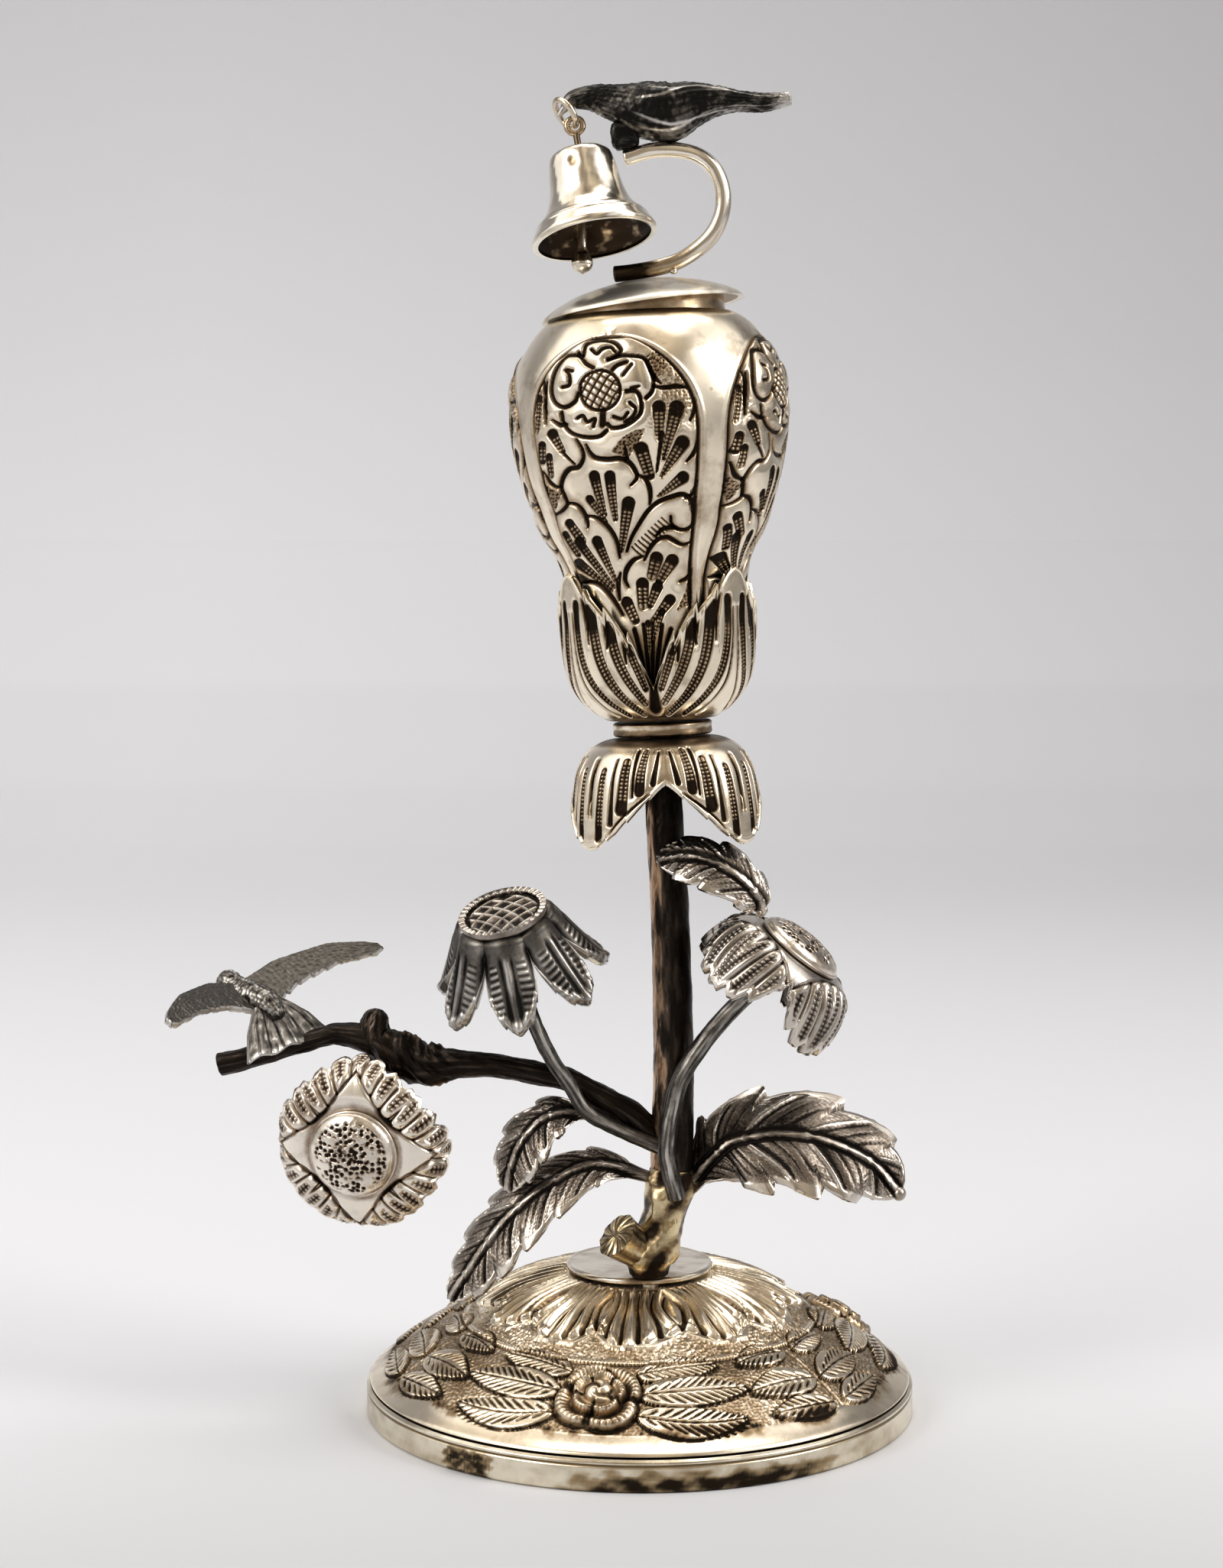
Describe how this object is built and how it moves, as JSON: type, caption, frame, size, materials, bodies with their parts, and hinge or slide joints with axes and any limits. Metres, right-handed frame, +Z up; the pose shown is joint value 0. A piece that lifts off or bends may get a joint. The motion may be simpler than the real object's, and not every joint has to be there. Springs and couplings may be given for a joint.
{
  "type": "spice box",
  "caption": "Silver spice box shaped as a flowering plant: domed foot, leafy stem, bud-shaped container with a lift-off lid, perching birds and a small hanging bell",
  "frame": {"origin": "under the middle of the whole outline, on the surface that the foot stands on; the foot's axis stands 11.9 mm to the right of it", "axes": "+Z up along the stem, +X to the right with the picture's view, -Y to the front"},
  "size_m": [0.0972, 0.0734, 0.1756],
  "materials": {
    "polished_silver": "warm polished silver with fine wear",
    "chased_silver": "chased silver, bright on the raised work and blackened in the cuts",
    "grey_silver": "dull grey silver, as cast",
    "oxidised_silver": "oxidised silver with bright edges",
    "blackened_silver": "blackened silver, brown where it is worn"
  },
  "bodies": {
    "tower": {"foot_band": "polished_silver", "foot_dome": "chased_silver", "foot_top_plate": "polished_silver", "foot_stud": "grey_silver", "foot_washer": "grey_silver", "foot_nut": "grey_silver", "stem_root": "blackened_silver", "main_stem": "blackened_silver", "left_branch": "blackened_silver", "branch_bird": "grey_silver", "leaf_right": "oxidised_silver", "leaf_front_left": "oxidised_silver", "leaf_back_left": "oxidised_silver", "middle_flower_stem": "grey_silver", "middle_flower_corolla": "grey_silver", "middle_flower_disc": "oxidised_silver", "right_flower_stem": "grey_silver", "right_flower_corolla": "chased_silver", "right_flower_boss": "polished_silver", "right_flower_leaf": "oxidised_silver", "hanging_flower_hook": "blackened_silver", "hanging_flower_corolla": "oxidised_silver", "hanging_flower_boss": "polished_silver", "lower_calyx": "chased_silver", "neck_ring": "polished_silver", "upper_calyx": "chased_silver", "neck_stud": "grey_silver", "bud_nut": "grey_silver", "bud_body": "chased_silver"},
    "lid": {"lid": "polished_silver", "lid_bezel": "polished_silver", "scroll_handle": "polished_silver", "top_bird": "grey_silver"},
    "bill_ring": {"beak_ring": "polished_silver"},
    "bell": {"bell": "polished_silver", "bell_loop": "polished_silver"},
    "clapper": {"clapper": "polished_silver"}
  },
  "joints": [
    {"name": "lid_lift", "type": "slide", "parent": "tower", "child": "lid", "axis": [-0.0454, 0, 0.999], "range_m": [0, 0.03]},
    {"name": "bill_ring_turn", "type": "hinge", "parent": "lid", "child": "bill_ring", "pos_m": [0.00214, -0.00101, 0.17171], "axis": [-0.7918, 0, -0.6108], "range_deg": [-20, 20]},
    {"name": "bell_swing", "type": "hinge", "parent": "bill_ring", "child": "bell", "pos_m": [0.00333, -0.00101, 0.17017], "axis": [0, 1, 0], "range_deg": [-2, 35]},
    {"name": "clapper_swing", "type": "hinge", "parent": "bell", "child": "clapper", "pos_m": [0.00432, -0.00219, 0.16455], "axis": [0, 1, 0], "range_deg": [-34, 16]}
  ]
}
